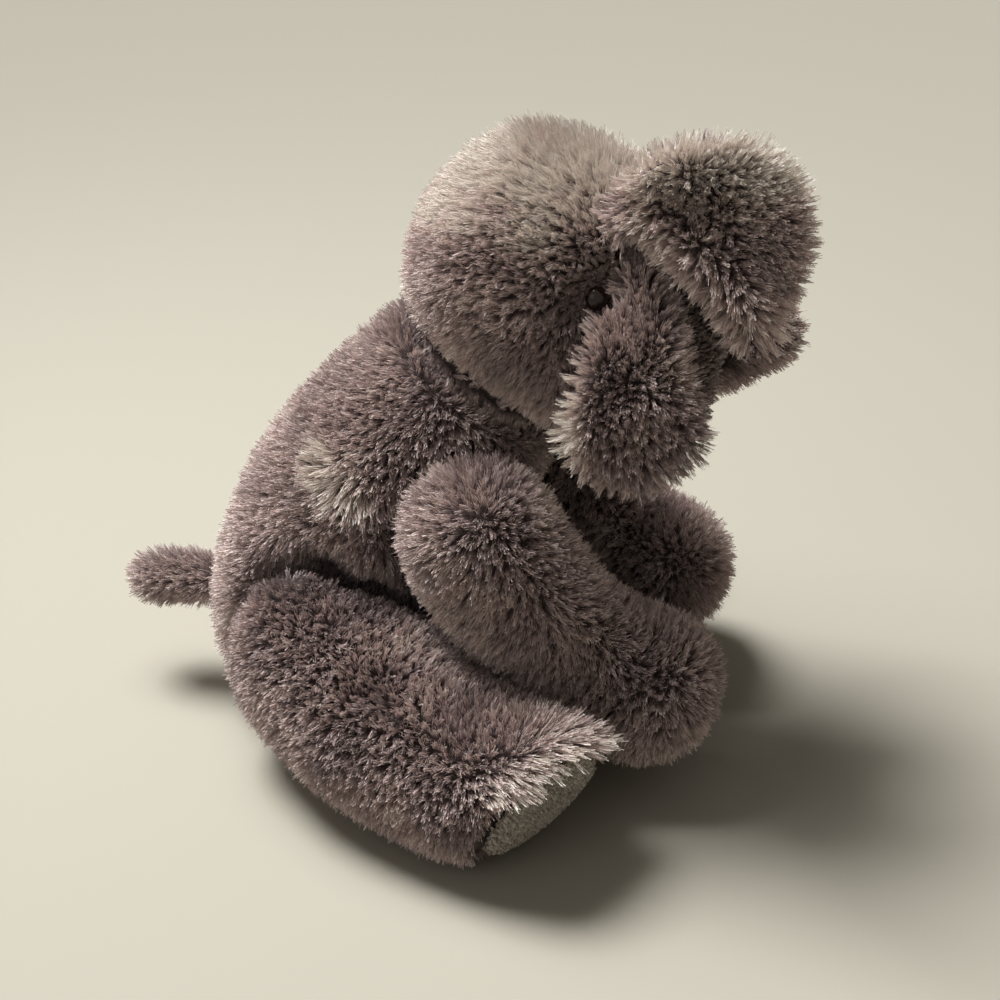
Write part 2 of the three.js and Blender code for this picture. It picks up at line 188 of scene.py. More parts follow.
def makeStrandTone():
    tree = bpy.data.node_groups.new("strandTone", "ShaderNodeTree")
    socketsOf(
        tree, "INPUT",
        ("Strand", "Vector", None),
        ("Root", "Color", None),
        ("Middle", "Color", None),
        ("Tip", "Color", None),
        ("Cream", "Color", None),
        ("Range", "Float", None),
    )
    socketsOf(tree, "OUTPUT", ("Color", "Color", None), ("Roughness", "Float", None))
    given, result = groupEnds(tree)
    strand = put(tree, "ShaderNodeSeparateXYZ", {0: given.outputs["Strand"]})
    tone, along = strand.outputs["X"], strand.outputs["Y"]
    share = ramp(tree, along, 0.0, strandFade["middleAt"])
    colour = blendColours(tree, share, given.outputs["Root"], given.outputs["Middle"])
    share = ramp(tree, along, strandFade["tipFrom"], 1.0)
    colour = blendColours(tree, share, colour, given.outputs["Tip"])
    share = reckon(tree, "MULTIPLY", ramp(tree, tone, strandFade["creamFrom"], 1.0), along)
    colour = blendColours(tree, share, colour, given.outputs["Cream"])
    spread = reckon(tree, "MULTIPLY", reckon(tree, "SUBTRACT", tone, 0.5), given.outputs["Range"])
    colour = vectors(tree, "SCALE", colour, scale=reckon(tree, "ADD", spread, 1.0))
    colour = vectors(tree, "MINIMUM", colour, strandFade["palest"])
    tree.links.new(colour, result.inputs["Color"])
    gloss = reckon(tree, "MULTIPLY", along, strandFade["tipGloss"])
    rough = reckon(tree, "SUBTRACT", strandFade["rootRoughness"], gloss)
    tree.links.new(rough, result.inputs["Roughness"])
    return tree


def makeClothGrain():
    tree = bpy.data.node_groups.new("clothGrain", "ShaderNodeTree")
    socketsOf(tree, "INPUT", ("Scale", "Float", None), ("Dark", "Color", None), ("Light", "Color", None))
    socketsOf(tree, "OUTPUT", ("Color", "Color", None), ("Height", "Float", None))
    given, result = groupEnds(tree)
    place = put(tree, "ShaderNodeTexCoord").outputs["Object"]
    loops = put(tree, "ShaderNodeTexVoronoi", {"Vector": place, "Scale": given.outputs["Scale"]})
    patches = put(tree, "ShaderNodeTexNoise", {
        "Vector": place, "Scale": weave["patchScale"], "Detail": weave["patchDetail"],
    })
    mixed = reckon(tree, "MULTIPLY", out(loops, "Distance"), out(patches, "Fac"))
    share = ramp(tree, mixed, weave["darkBelow"], weave["lightAbove"])
    colour = blendColours(tree, share, given.outputs["Dark"], given.outputs["Light"])
    tree.links.new(colour, result.inputs["Color"])
    tree.links.new(out(loops, "Distance"), result.inputs["Height"])
    return tree


def newMaterial(name):
    material = bpy.data.materials.new(name)
    material.use_nodes = True
    tree = material.node_tree
    return material, tree, tree.nodes["Principled BSDF"]


def strandMaterial(name, finish):
    material, tree, shader = newMaterial(name)
    tone = put(tree, "ShaderNodeGroup", {
        "Strand": put(tree, "ShaderNodeUVMap", uv_map=bakeMap).outputs["UV"],
        "Root": paint(finish["root"]),
        "Middle": paint(finish["middle"]),
        "Tip": paint(finish["tip"]),
        "Cream": paint(finish["cream"]),
        "Range": finish["range"],
    }, node_tree=strandTone)
    tree.links.new(tone.outputs["Color"], shader.inputs["Base Color"])
    tree.links.new(tone.outputs["Roughness"], shader.inputs["Roughness"])
    shader.inputs["Specular IOR Level"].default_value = finish["shine"]
    shader.inputs["Sheen Weight"].default_value = finish["sheen"]
    shader.inputs["Sheen Roughness"].default_value = strandFade["sheenRoughness"]
    return material


def clothMaterial(name, finish):
    material, tree, shader = newMaterial(name)
    grain = put(tree, "ShaderNodeGroup", {
        "Scale": finish["scale"],
        "Dark": paint(finish["dark"]),
        "Light": paint(finish["light"]),
    }, node_tree=clothGrain)
    bump = put(tree, "ShaderNodeBump", {
        "Height": grain.outputs["Height"], "Strength": weave["bump"], "Distance": weave["depth"],
    })
    tree.links.new(grain.outputs["Color"], shader.inputs["Base Color"])
    tree.links.new(out(bump), shader.inputs["Normal"])
    shader.inputs["Roughness"].default_value = finish["roughness"]
    return material


def beadMaterial(finish):
    material, tree, shader = newMaterial("polishedBead")
    cloud = out(put(tree, "ShaderNodeTexNoise", {
        "Vector": put(tree, "ShaderNodeTexCoord").outputs["Object"],
        "Scale": finish["cloudScale"],
        "Detail": finish["cloudDetail"],
    }), "Fac")
    colour = blendColours(tree, cloud, paint(finish["dark"]), paint(finish["light"]))
    tree.links.new(colour, shader.inputs["Base Color"])
    wear = reckon(tree, "MULTIPLY", ramp(tree, cloud, *finish["scuffs"]), finish["wear"])
    tree.links.new(reckon(tree, "ADD", wear, finish["polish"]), shader.inputs["Roughness"])
    shader.inputs["Specular IOR Level"].default_value = finish["shine"]
    return material


strandTone = makeStrandTone()
clothGrain = makeClothGrain()
taupePile = strandMaterial("taupePile", furFinish)
soleNap = strandMaterial("soleNap", napFinish)
liningNap = strandMaterial("liningNap", liningFinish)
darkBacking = clothMaterial("darkBacking", backingCloth)
paleBacking = clothMaterial("paleBacking", napCloth)
pouchCloth = clothMaterial("pouchCloth", pouchWeave)
washerFinish = clothMaterial("washerFinish", washerPlastic)
polishedBead = beadMaterial(beadFinish)
print("materials made")


# Pile: strands that gather into clumps, each strand a blade that widens from its root

furTrim = {
    "Clump Spacing": 0.0011,
    "Strands Per Square Metre": 7.2e6,
    "Pile Length": 0.008,
    "Strand Width": 0.00024,
    "Lean": 0.22,
    "Gather": 0.58,
    "Unruly": 0.34,
    "Swirl": 0.9,
    "Stray": 0.1,
}
headTrim = {**furTrim, "Strands Per Square Metre": 1.12e7, "Strand Width": 0.0002}
rightEarTrim = {**headTrim, "Strands Per Square Metre": 1.4e7, "Unruly": 0.24, "Swirl": 0.5}
leftEarTrim = {**rightEarTrim, "Strands Per Square Metre": 1e7}
napTrim = {
    "Clump Spacing": 0.0009,
    "Strands Per Square Metre": 9e6,
    "Pile Length": 0.0016,
    "Strand Width": 0.00034,
    "Lean": 0.25,
    "Gather": 0.5,
    "Unruly": 0.5,
    "Swirl": 0.4,
    "Stray": 0.1,
}
liningTrim = {**napTrim, "Pile Length": 0.003, "Clump Spacing": 0.0011, "Strands Per Square Metre": 7e6}

pileDraws = {  # a seed, the lowest value and the highest
    "clumpWay": (11, (-1.0, -1.0, -1.0), (1.0, 1.0, 1.0)),
    "clumpReach": (12, 0.82, 1.14),
    "clumpTone": (13, -0.15, 0.15),
    "strandReach": (14, 0.5, 1.1),
    "strandWay": (15, (-1.0, -1.0, -1.0), (1.0, 1.0, 1.0)),
    "strandTone": (16, -0.2, 0.2),
    "strandTurn": (17, 0.0, 2 * math.pi),
    "strandWidth": (18, 0.7, 1.35),
}
pileNoise = {"eddyScale": 45.0, "eddyDetail": 1.0, "toneScale": 55.0, "toneDetail": 2.0}
clumpsAtMost = 1500000.0  # in a square metre
bakeFit = {"margin": 0.02, "span": 0.96, "strandWidth": 0.012}
rootWeld = 0.0001  # joins the two corners at a blade's root
floorClear = 0.0004  # no strand goes lower


def named(tree, name, kind="FLOAT"):
    return out(put(tree, "GeometryNodeInputNamedAttribute", {"Name": name}, data_type=kind), "Attribute")


def draw(tree, name):
    seed, low, high = pileDraws[name]
    kind = "FLOAT_VECTOR" if isinstance(low, tuple) else "FLOAT"
    return out(put(tree, "FunctionNodeRandomValue", {"Min": low, "Max": high, "Seed": seed}, data_type=kind))


def keep(tree, geometry, name, value, kind="FLOAT", domain="POINT"):
    return out(put(tree, "GeometryNodeStoreNamedAttribute", {
        "Geometry": geometry, "Name": name, "Value": value,
    }, data_type=kind, domain=domain))


def makeBlade(tree):
    grid = put(tree, "GeometryNodeMeshGrid", {"Size X": 1.0, "Size Y": 1.0, "Vertices X": 2, "Vertices Y": 2})
    place = put(tree, "ShaderNodeSeparateXYZ", {0: out(put(tree, "GeometryNodeInputPosition"))})
    across = place.outputs["X"]
    along = reckon(tree, "ADD", place.outputs["Y"], 0.5)
    marked = keep(tree, out(grid, "Mesh"), "along", along)
    marked = keep(tree, marked, "across", across)
    shape = put(tree, "ShaderNodeCombineXYZ", {"X": reckon(tree, "MULTIPLY", across, along), "Y": along})
    moved = put(tree, "GeometryNodeSetPosition", {"Geometry": marked, "Position": out(shape)})
    return out(put(tree, "GeometryNodeMergeByDistance", {"Geometry": out(moved), "Distance": rootWeld}))


def makePileTree():
    tree = bpy.data.node_groups.new("pileOnFabric", "GeometryNodeTree")
    socketsOf(
        tree, "INPUT",
        ("Fabric", "Geometry", None),
        *((name, "Float", value) for name, value in furTrim.items()),
        ("Floor", "Float", floorClear),
        ("Seed", "Int", 1),
        ("Finish", "Material", None),
    )
    socketsOf(tree, "OUTPUT", ("Pile", "Geometry", None))
    given, result = groupEnds(tree)
    fabric, seed = given.outputs["Fabric"], given.outputs["Seed"]
    place = out(put(tree, "GeometryNodeInputPosition"))
    thick = named(tree, "thick")

    # clumps: a root, a tip and a tone for each
    clumpDots = put(tree, "GeometryNodeDistributePointsOnFaces", {
        "Mesh": fabric,
        "Distance Min": given.outputs["Clump Spacing"],
        "Density Max": clumpsAtMost,
        "Density Factor": thick,
        "Seed": seed,
    }, distribute_method="POISSON")
    combed = vectors(tree, "SCALE", named(tree, "comb", "FLOAT_VECTOR"), scale=given.outputs["Lean"])
    loose = vectors(tree, "SCALE", draw(tree, "clumpWay"), scale=given.outputs["Unruly"])
    eddy = put(tree, "ShaderNodeTexNoise", {
        "Vector": place, "Scale": pileNoise["eddyScale"], "Detail": pileNoise["eddyDetail"],
    })
    eddy = vectors(tree, "SUBTRACT", out(eddy, "Color"), (0.5, 0.5, 0.5))
    loose = vectors(tree, "ADD", loose, vectors(tree, "SCALE", eddy, scale=given.outputs["Swirl"]))
    upright = vectors(tree, "ADD", out(clumpDots, "Normal"), combed)
    heading = vectors(tree, "NORMALIZE", vectors(tree, "ADD", upright, loose))
    reach = reckon(tree, "MULTIPLY", given.outputs["Pile Length"], named(tree, "pile"))
    reach = reckon(tree, "MULTIPLY", reach, draw(tree, "clumpReach"))
    tip = vectors(tree, "ADD", place, vectors(tree, "SCALE", heading, scale=reach))
    patch = put(tree, "ShaderNodeTexNoise", {
        "Vector": place, "Scale": pileNoise["toneScale"], "Detail": pileNoise["toneDetail"],
    })
    tone = reckon(tree, "ADD", out(patch, "Fac"), draw(tree, "clumpTone"))
    # the shade attribute adds the coats' painted light and painted shade, and the flank tuft's own paler
    # colour
    tone = reckon(tree, "ADD", tone, named(tree, "shade"))
    clumps = keep(tree, out(clumpDots, "Points"), "clumpRoot", place, "FLOAT_VECTOR")
    clumps = keep(tree, clumps, "clumpTip", tip, "FLOAT_VECTOR")
    clumps = keep(tree, clumps, "clumpTone", tone)

    # strands: each leans from its own root to the tip of the clump next to it
    strandDots = put(tree, "GeometryNodeDistributePointsOnFaces", {
        "Mesh": fabric,
        "Density": reckon(tree, "MULTIPLY", given.outputs["Strands Per Square Metre"], thick),
        "Seed": reckon(tree, "ADD", seed, 1.0),
    }, distribute_method="RANDOM")
    near = out(put(tree, "GeometryNodeSampleNearest", {"Geometry": clumps, "Sample Position": place}))

    def fromClump(name, kind="FLOAT"):
        return out(put(tree, "GeometryNodeSampleIndex", {
            "Geometry": clumps, "Value": named(tree, name, kind), "Index": near,
        }, data_type=kind))

    aside = vectors(tree, "SUBTRACT", place, fromClump("clumpRoot", "FLOAT_VECTOR"))
    aside = vectors(tree, "SCALE", aside, scale=given.outputs["Gather"])
    target = vectors(tree, "ADD", fromClump("clumpTip", "FLOAT_VECTOR"), aside)
    strand = vectors(tree, "SUBTRACT", target, place)
    strand = vectors(tree, "SCALE", strand, scale=draw(tree, "strandReach"))
    stray = reckon(tree, "MULTIPLY", given.outputs["Pile Length"], given.outputs["Stray"])
    stray = vectors(tree, "SCALE", draw(tree, "strandWay"), scale=stray)
    ownTone = reckon(tree, "ADD", fromClump("clumpTone"), draw(tree, "strandTone"))
    dots = keep(tree, out(strandDots, "Points"), "tone", ownTone)
    dots = keep(tree, dots, "strand", vectors(tree, "ADD", strand, stray), "FLOAT_VECTOR")
    along = named(tree, "strand", "FLOAT_VECTOR")
    lean = put(tree, "FunctionNodeAlignRotationToVector", {"Vector": along}, axis="Y")
    spin = put(tree, "FunctionNodeAxisAngleToRotation", {
        "Axis": (0.0, 1.0, 0.0), "Angle": draw(tree, "strandTurn"),
    })
    turned = put(tree, "FunctionNodeRotateRotation", {
        "Rotation": out(lean), "Rotate By": out(spin),
    }, rotation_space="LOCAL")
    tall = out(put(tree, "ShaderNodeVectorMath", {0: along}, operation="LENGTH"), "Value")
    wide = reckon(tree, "MULTIPLY", given.outputs["Strand Width"], draw(tree, "strandWidth"))
    grown = put(tree, "GeometryNodeInstanceOnPoints", {
        "Points": dots,
        "Instance": makeBlade(tree),
        "Rotation": out(turned),
        "Scale": out(put(tree, "ShaderNodeCombineXYZ", {"X": wide, "Y": tall, "Z": tall})),
    })
    solid = out(put(tree, "GeometryNodeRealizeInstances", {"Geometry": out(grown)}))

    # the bake map, with a little width so that no strand is lost in it
    def fitted(share):
        return reckon(tree, "ADD", reckon(tree, "MULTIPLY", share, bakeFit["span"]), bakeFit["margin"])

    level = reckon(tree, "MULTIPLY", named(tree, "tone"), 1.0, clamp=True)
    sideways = reckon(tree, "MULTIPLY", named(tree, "across"), bakeFit["strandWidth"])
    mapped = put(tree, "ShaderNodeCombineXYZ", {
        "X": reckon(tree, "ADD", fitted(level), sideways),
        "Y": fitted(named(tree, "along")),
    })
    solid = keep(tree, solid, bakeMap, out(mapped), "FLOAT2", "CORNER")
    spot = put(tree, "ShaderNodeSeparateXYZ", {0: place})
    lifted = put(tree, "ShaderNodeCombineXYZ", {
        "X": spot.outputs["X"],
        "Y": spot.outputs["Y"],
        "Z": reckon(tree, "MAXIMUM", spot.outputs["Z"], given.outputs["Floor"]),
    })
    above = put(tree, "GeometryNodeSetPosition", {"Geometry": solid, "Position": out(lifted)})
    dressed = put(tree, "GeometryNodeSetMaterial", {
        "Geometry": out(above), "Material": given.outputs["Finish"],
    })
    tree.links.new(out(dressed), result.inputs["Pile"])
    return tree


pileTree = makePileTree()
print("pile tree made")


# Meshes and shares

tiny = 1e-9  # keeps a division from failing


def newObject(name, mesh):
    made = bpy.data.objects.new(name, mesh)
    scene.collection.objects.link(made)
    return made


def evaluatedMesh(made):
    graph = bpy.context.evaluated_depsgraph_get()
    return bpy.data.meshes.new_from_object(
        made.evaluated_get(graph), preserve_all_data_layers=True, depsgraph=graph,
    )


def settled(made):
    mesh = evaluatedMesh(made)
    made.modifiers.clear()
    old = made.data
    made.data = mesh
    bpy.data.meshes.remove(old)


def pointsOf(mesh):
    flat = np.empty(len(mesh.vertices) * 3)
    mesh.vertices.foreach_get("co", flat)
    return flat.reshape(-1, 3)


def normalsOf(mesh):
    flat = np.empty(len(mesh.vertices) * 3)
    mesh.vertex_normals.foreach_get("vector", flat)
    return flat.reshape(-1, 3)


def setPoints(mesh, points):
    points[:, 2] = np.maximum(points[:, 2], floorRest)
    mesh.vertices.foreach_set("co", np.ascontiguousarray(points, dtype=np.float32).ravel())
    mesh.update()


def setAttribute(mesh, name, values, kind="FLOAT"):
    layer = mesh.attributes.get(name) or mesh.attributes.new(name, kind, "POINT")
    field = "vector" if kind == "FLOAT_VECTOR" else "value"
    layer.data.foreach_set(field, np.ascontiguousarray(values, dtype=np.float32).ravel())


def treeOf(mesh):
    verts = [v.co.copy() for v in mesh.vertices]
    return BVHTree.FromPolygons(verts, [tuple(face.vertices) for face in mesh.polygons])


def middleOf(node):
    low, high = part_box(node)
    return (Vector(low) + Vector(high)) / 2


def ease(values, low, high):
    share = np.clip((values - low) / (high - low), 0, 1)
    return share * share * (3 - 2 * share)


def awayFrom(points, centres, near, far):
    share = np.ones(len(points))
    for centre in centres:
        distance = np.linalg.norm(points - np.array(centre), axis=1)
        share = np.minimum(share, ease(distance, near, far))
    return share


def alongSkin(directions, normals):
    return directions - normals * np.sum(directions * normals, axis=1, keepdims=True)


# Skins: the woven backing under the pile, swollen by its stuffing

floorRest = 0.0016  # the backing rests on its pressed pile
seamWeld = 1e-6
easing = 0.5
stuffing = {"pressure": 4, "frames": 20, "swell": 0.0015, "holdBelow": 0.006}


def onlyLargest(mesh):
    work = bmesh.new()
    work.from_mesh(mesh)
    unseen = set(work.verts)
    islands = []
    while unseen:
        stack = [unseen.pop()]
        island = list(stack)
        while stack:
            for edge in stack.pop().link_edges:
                for vert in edge.verts:
                    if vert in unseen:
                        unseen.remove(vert)
                        stack.append(vert)
                        island.append(vert)
        islands.append(island)
    islands.sort(key=len, reverse=True)
    for island in islands[1:]:
        bmesh.ops.delete(work, geom=island, context="VERTS")
    work.to_mesh(mesh)
    work.free()
    mesh.update()


def sewSkin(spec):
    work = bmesh.new()
    for node in spec["nodes"]:
        work.from_mesh(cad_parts[node].data)
    bmesh.ops.remove_doubles(work, verts=work.verts, dist=seamWeld)
    mesh = bpy.data.meshes.new(spec["name"] + "_fabric")
    work.to_mesh(mesh)
    work.free()
    skin = newObject(spec["name"] + "_fabric", mesh)
    remesh = skin.modifiers.new("weave", "REMESH")
    remesh.mode = "VOXEL"
    remesh.voxel_size = spec["voxel"]
    smooth = skin.modifiers.new("ease", "SMOOTH")
    smooth.factor = easing
    smooth.iterations = spec["ease"]
    settled(skin)
    onlyLargest(skin.data)
    points, normals = pointsOf(skin.data), normalsOf(skin.data)
    inset = np.full(len(points), spec["inset"])
    if "holdNear" in spec:
        inset *= awayFrom(points, spec["holdNear"], *spec["hold"])
    points = points - normals * inset[:, None]
    if "shrink" in spec:
        middle = (points.min(0) + points.max(0)) / 2
        points = middle + (points - middle) * spec["shrink"]
    if "shape" in spec:
        points = spec["shape"](points)
    setPoints(skin.data, points)
    return skin


def swell(skins):
    starts = []
    for skin in skins:
        start = pointsOf(skin.data)
        starts.append(start)
        held = skin.vertex_groups.new(name="held")
        low = np.nonzero(start[:, 2] < stuffing["holdBelow"])[0]
        held.add([int(k) for k in low], 1.0, "REPLACE")
        cloth = skin.modifiers.new("stuffed", "CLOTH")
        cloth.settings.use_pressure = True
        cloth.settings.uniform_pressure_force = stuffing["pressure"]
        cloth.settings.effector_weights.gravity = 0
        cloth.settings.vertex_group_mass = "held"
    for step in range(1, stuffing["frames"] + 1):
        scene.frame_set(step)
    for skin, start in zip(skins, starts):
        settled(skin)
        moves = pointsOf(skin.data) - start
        lengths = np.linalg.norm(moves, axis=1, keepdims=True)
        moves *= np.minimum(1, stuffing["swell"] / np.maximum(lengths, tiny))
        setPoints(skin.data, start + moves)
        skin.vertex_groups.clear()
    scene.frame_set(1)


def refine(skin):
    finer = skin.modifiers.new("finer", "SUBSURF")
    finer.levels = 1
    finer.render_levels = 1
    settled(skin)
    skin.data.shade_smooth()


# Coats: how long the pile is, which way it is combed and how pale it is, all over a skin; the paleness
# carries painted light and painted shade as well as the pile's own tone

bodyFur = {"flow": (-0.3, 0.0, -1.0), "chest": (0.3, 0.7), "chestShorter": 0.5}
flankTuft = {
    "centre": (-0.032, -0.045, 0.133),
    "radius": 0.026,
    "core": 0.5,  # share of the radius
    "fans": (-0.6, 0.0, -0.8),
    "edge": (-0.002, 0.012),
    "shade": 0.6,
    "longer": 0.5,
    "splay": 6,
}


def torsoCoat(points, normals):
    pile = 1 - bodyFur["chestShorter"] * ease(normals[:, 0], *bodyFur["chest"])
    apart = points - np.array(flankTuft["centre"])
    distance = np.linalg.norm(apart, axis=1)
    tuft = ease(apart @ np.array(flankTuft["fans"]), *flankTuft["edge"])
    tuft *= 1 - ease(distance, flankTuft["radius"] * flankTuft["core"], flankTuft["radius"])
    splay = apart / np.maximum(distance, tiny)[:, None]
    comb = np.tile(bodyFur["flow"], (len(points), 1))
    comb = comb * (1 - tuft)[:, None] + flankTuft["splay"] * splay * tuft[:, None]
    return pile * (1 + flankTuft["longer"] * tuft), comb, flankTuft["shade"] * tuft


headFlow = (-1.0, 0.0, -0.35)
# the crown is combed back and longer, and painted lighter where it faces up: painted light
crown = {"from": 0.25, "to": 0.85, "comb": 3.5, "shade": 0.5, "longer": 0.3}
eyeHollow = {"near": 0.006, "far": 0.015, "pile": 0.3}
eyeMiddles = [middleOf("eye_right"), middleOf("eye_left")]


def headCoat(points, normals):
    clear = awayFrom(points, eyeMiddles, eyeHollow["near"], eyeHollow["far"])
    pile = eyeHollow["pile"] + (1 - eyeHollow["pile"]) * clear
    top = ease(normals[:, 2], crown["from"], crown["to"])
    comb = np.tile(headFlow, (len(points), 1)) * (1 + crown["comb"] * top)[:, None]
    # painted light on the crown's top
    return pile * (1 + crown["longer"] * top), comb, crown["shade"] * top


def flowing(direction):
    def coat(points, normals):
        comb = np.tile(direction, (len(points), 1))
        return np.ones(len(points)), comb, np.zeros(len(points))
    return coat


rightEar = {
    "lobes": ((0.088, -0.056, 0.238), (0.0642, -0.067, 0.1754)),
    "fold": (
        (0.0649, -0.0312, 0.2271),
        (0.0834, -0.0425, 0.2331),
        (0.1061, -0.0566, 0.2164),
        (0.117, -0.058, 0.2),
    ),
    "outward": (0.25, -0.93, 0.25),
    "foldDepth": 0.02,
    "foldWidth": 0.02,
    "foldCore": 0.1,  # share of the fold's width
    "foldFlare": 0.03,
    "flareAlong": (0.075, 0.108),
    "lip": 0.004,
    "lipReach": (0.004, 0.016),
    "droop": 0.05,
    "droopReach": (0.005, 0.04),
    "spring": (0.06, -0.04, 0.219),  # the upper lobe's pile is combed away from here
    "combReach": 0.02,
    "hollow": 0.5,
    # painted shade: the fold's hollow is painted darker
    "hollowShade": -1.0,
    "fringe": 0.35,
    "fringeReach": (-0.002, 0.014),
    # painted light: the lower lobe's left fringe is painted paler
    "fringePaintedLight": 1.0,
    "browReach": (0.006, 0.012),
    # painted light: the brow's hairs over the fold are painted a little paler
    "browPaintedLight": 0.1,
    # painted light: the upper lobe's top is painted paler between the heights below
    "paintedTopLight": 0.7,
    "paintedTopLightHeights": (0.236, 0.262),
}
upperLobe, lowerLobe = (np.array(lobe) for lobe in rightEar["lobes"])
earOutward = np.array(rightEar["outward"])


def alongFold(points):
    best = np.full(len(points), 1.0)
    above = np.zeros(len(points))
    for start, end in zip(rightEar["fold"][:-1], rightEar["fold"][1:]):
        start, end = np.array(start), np.array(end)
        run = end - start
        share = np.clip((points - start) @ run / (run @ run), 0, 1)
        apart = points - (start + share[:, None] * run)
        distance = np.linalg.norm(apart, axis=1)
        nearer = distance < best
        across = (upperLobe - lowerLobe) - run * ((upperLobe - lowerLobe) @ run) / (run @ run)
        above = np.where(nearer, np.sign(apart @ across), above)
        best = np.where(nearer, distance, best)
    return best, above > 0


def foldValley(points, distance):
    flare = rightEar["foldFlare"] * ease(points[:, 0], *rightEar["flareAlong"])
    return 1 - ease(distance / (rightEar["foldWidth"] + flare), rightEar["foldCore"], 1)


def foldRightEar(points):
    distance, above = alongFold(points)
    lip = rightEar["lip"] * (1 - ease(distance, *rightEar["lipReach"]))
    depth = np.where(above, lip, -rightEar["foldDepth"] * foldValley(points, distance))
    droop = np.where(above, 0, rightEar["droop"] * ease(distance, *rightEar["droopReach"]))
    return points + earOutward * depth[:, None] + (points - upperLobe) * droop[:, None]


def rightEarCoat(points, normals):
    distance, above = alongFold(points)
    sprung = points - np.array(rightEar["spring"])
    sprung = sprung - earOutward * ((sprung @ earOutward) / (earOutward @ earOutward))[:, None]
    comb = np.where(above[:, None], sprung, points - lowerLobe) / rightEar["combReach"]
    hollow = np.where(above, 0, foldValley(points, distance))
    fringe = np.where(above, 0, ease(lowerLobe[0] - points[:, 0], *rightEar["fringeReach"]))
    brow = np.where(above, 1 - ease(distance, *rightEar["browReach"]), 0)
    paintedTopLight = np.where(above, ease(points[:, 2], *rightEar["paintedTopLightHeights"]), 0)
    pile = 1 - rightEar["hollow"] * hollow + rightEar["fringe"] * (brow + fringe)
    # painted shade in the fold's hollow, painted light on the upper lobe's top
    shade = rightEar["hollowShade"] * hollow + rightEar["paintedTopLight"] * paintedTopLight
    # painted light on the brow and on the lower lobe's fringe
    shade += rightEar["browPaintedLight"] * brow + rightEar["fringePaintedLight"] * fringe
    return pile, comb, shade


leftEar = {"combReach": 0.025}


def leftEarCoat(points, normals):
    middle = (points.min(0) + points.max(0)) / 2
    return np.ones(len(points)), (points - middle) / leftEar["combReach"], np.zeros(len(points))


toeFringe = {
    "near": 0.004,
    "far": 0.024,
    "top": (0.15, 0.7),
    "longer": 0.7,
    "shorter": 0.35,
    "comb": 7,
    # painted light: the fringe's top is painted paler
    "shade": 0.35,
}
legFlow = {"right": (0.86, -0.48, -0.17), "left": (0.86, 0.48, -0.17)}
soleOpening = {"depth": 0.012, "facing": 0.75}  # no pile grows under the sole


def soleFacing(side):
    points = pointsOf(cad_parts["sole_" + side].data)
    middle = points.mean(axis=0)
    facing = np.linalg.svd(points - middle)[2][2]
    away = middle - np.array(middleOf("leg_" + side + "_skin"))
    return facing * np.sign(facing @ away), middle


def legCoat(side):
    facing, sole = soleFacing(side)

    def coat(points, normals):
        fringe = 1 - ease((sole - points) @ facing, toeFringe["near"], toeFringe["far"])
        top = ease(normals[:, 2], *toeFringe["top"])
        comb = np.tile(legFlow[side], (len(points), 1)) * (1 + toeFringe["comb"] * fringe * top)[:, None]
        change = toeFringe["longer"] * top - toeFringe["shorter"] * (1 - top)
        # painted light on the top of the toe fringe
        return 1 + change * fringe, comb, toeFringe["shade"] * fringe * top
    return coat


def underSole(side):
    facing, sole = soleFacing(side)

    def bare(points, normals):
        near = (sole - points) @ facing < soleOpening["depth"]
        return near & (normals @ facing > soleOpening["facing"])
    return bare


# Panels: which part of a skin each pile covers

def everywhere(points):
    return np.ones(len(points))


def rightHalf(points):
    return (points[:, 1] < 0).astype(float)


def leftHalf(points):
    return (points[:, 1] >= 0).astype(float)


def linedSide(name):
    trees = [treeOf(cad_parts[name + part].data) for part in ("_fur", "_lining")]

    def lined(points):
        fur, lining = ([tree.find_nearest(Vector(p))[3] for p in points] for tree in trees)
        return (np.array(lining) < np.array(fur)).astype(float)
    return lined


def furSide(name):
    lined = linedSide(name)
    return lambda points: 1 - lined(points)


bothHalves = {"_right": rightHalf, "_left": leftHalf}
oneCoat = {"": everywhere}


# Sleeves, each sewn from its CAD pieces

torso = {
    "name": "torso", "body": "torso", "nodes": ("torso_skin", "torso_stuffing"),
    "voxel": 0.005, "ease": 6, "inset": 0.0015, "fill": 0.7,
    "coat": torsoCoat, "panels": bothHalves,
}
neck = {
    "name": "neck", "body": "neck", "nodes": ("neck_panel",),
    "voxel": 0.003, "ease": 3, "inset": 0.0015, "fill": 0.5,
    "coat": flowing((0.0, 0.0, -1.0)), "panels": oneCoat, "pile": 0.7,
}
head = {
    "name": "head", "body": "head", "nodes": ("head_skin", "head_stuffing"),
    "voxel": 0.005, "ease": 6, "inset": 0.0015, "fill": 0.8,
    "holdNear": eyeMiddles, "hold": (0.004, 0.014),
    "coat": headCoat, "panels": bothHalves, "trim": headTrim,
}
trunk = {
    "name": "trunk", "body": "trunk", "nodes": ("trunk_skin", "trunk_stuffing"),
    "voxel": 0.003, "ease": 4, "inset": 0.0035, "fill": 0.7,
    "coat": flowing((3.0, 0.0, 1.2)), "panels": oneCoat, "pile": 0.9,
}
tail = {
    "name": "tail", "body": "tail", "nodes": ("tail_skin", "tail_stuffing"),
    "voxel": 0.0025, "ease": 4, "inset": 0.0035, "fill": 0.5,
    "coat": flowing((-4.0, 0.0, 0.0)), "panels": oneCoat, "pile": 0.9,
}


def ear(side):
    name = "ear_" + side
    return {
        "name": name, "body": name, "nodes": (name + "_fur", name + "_lining"),
        "voxel": 0.002, "ease": 4, "inset": 0.001, "shrink": 0.96, "fill": 0.4,
        "panels": {"": furSide(name)}, "lined": linedSide(name),
    }


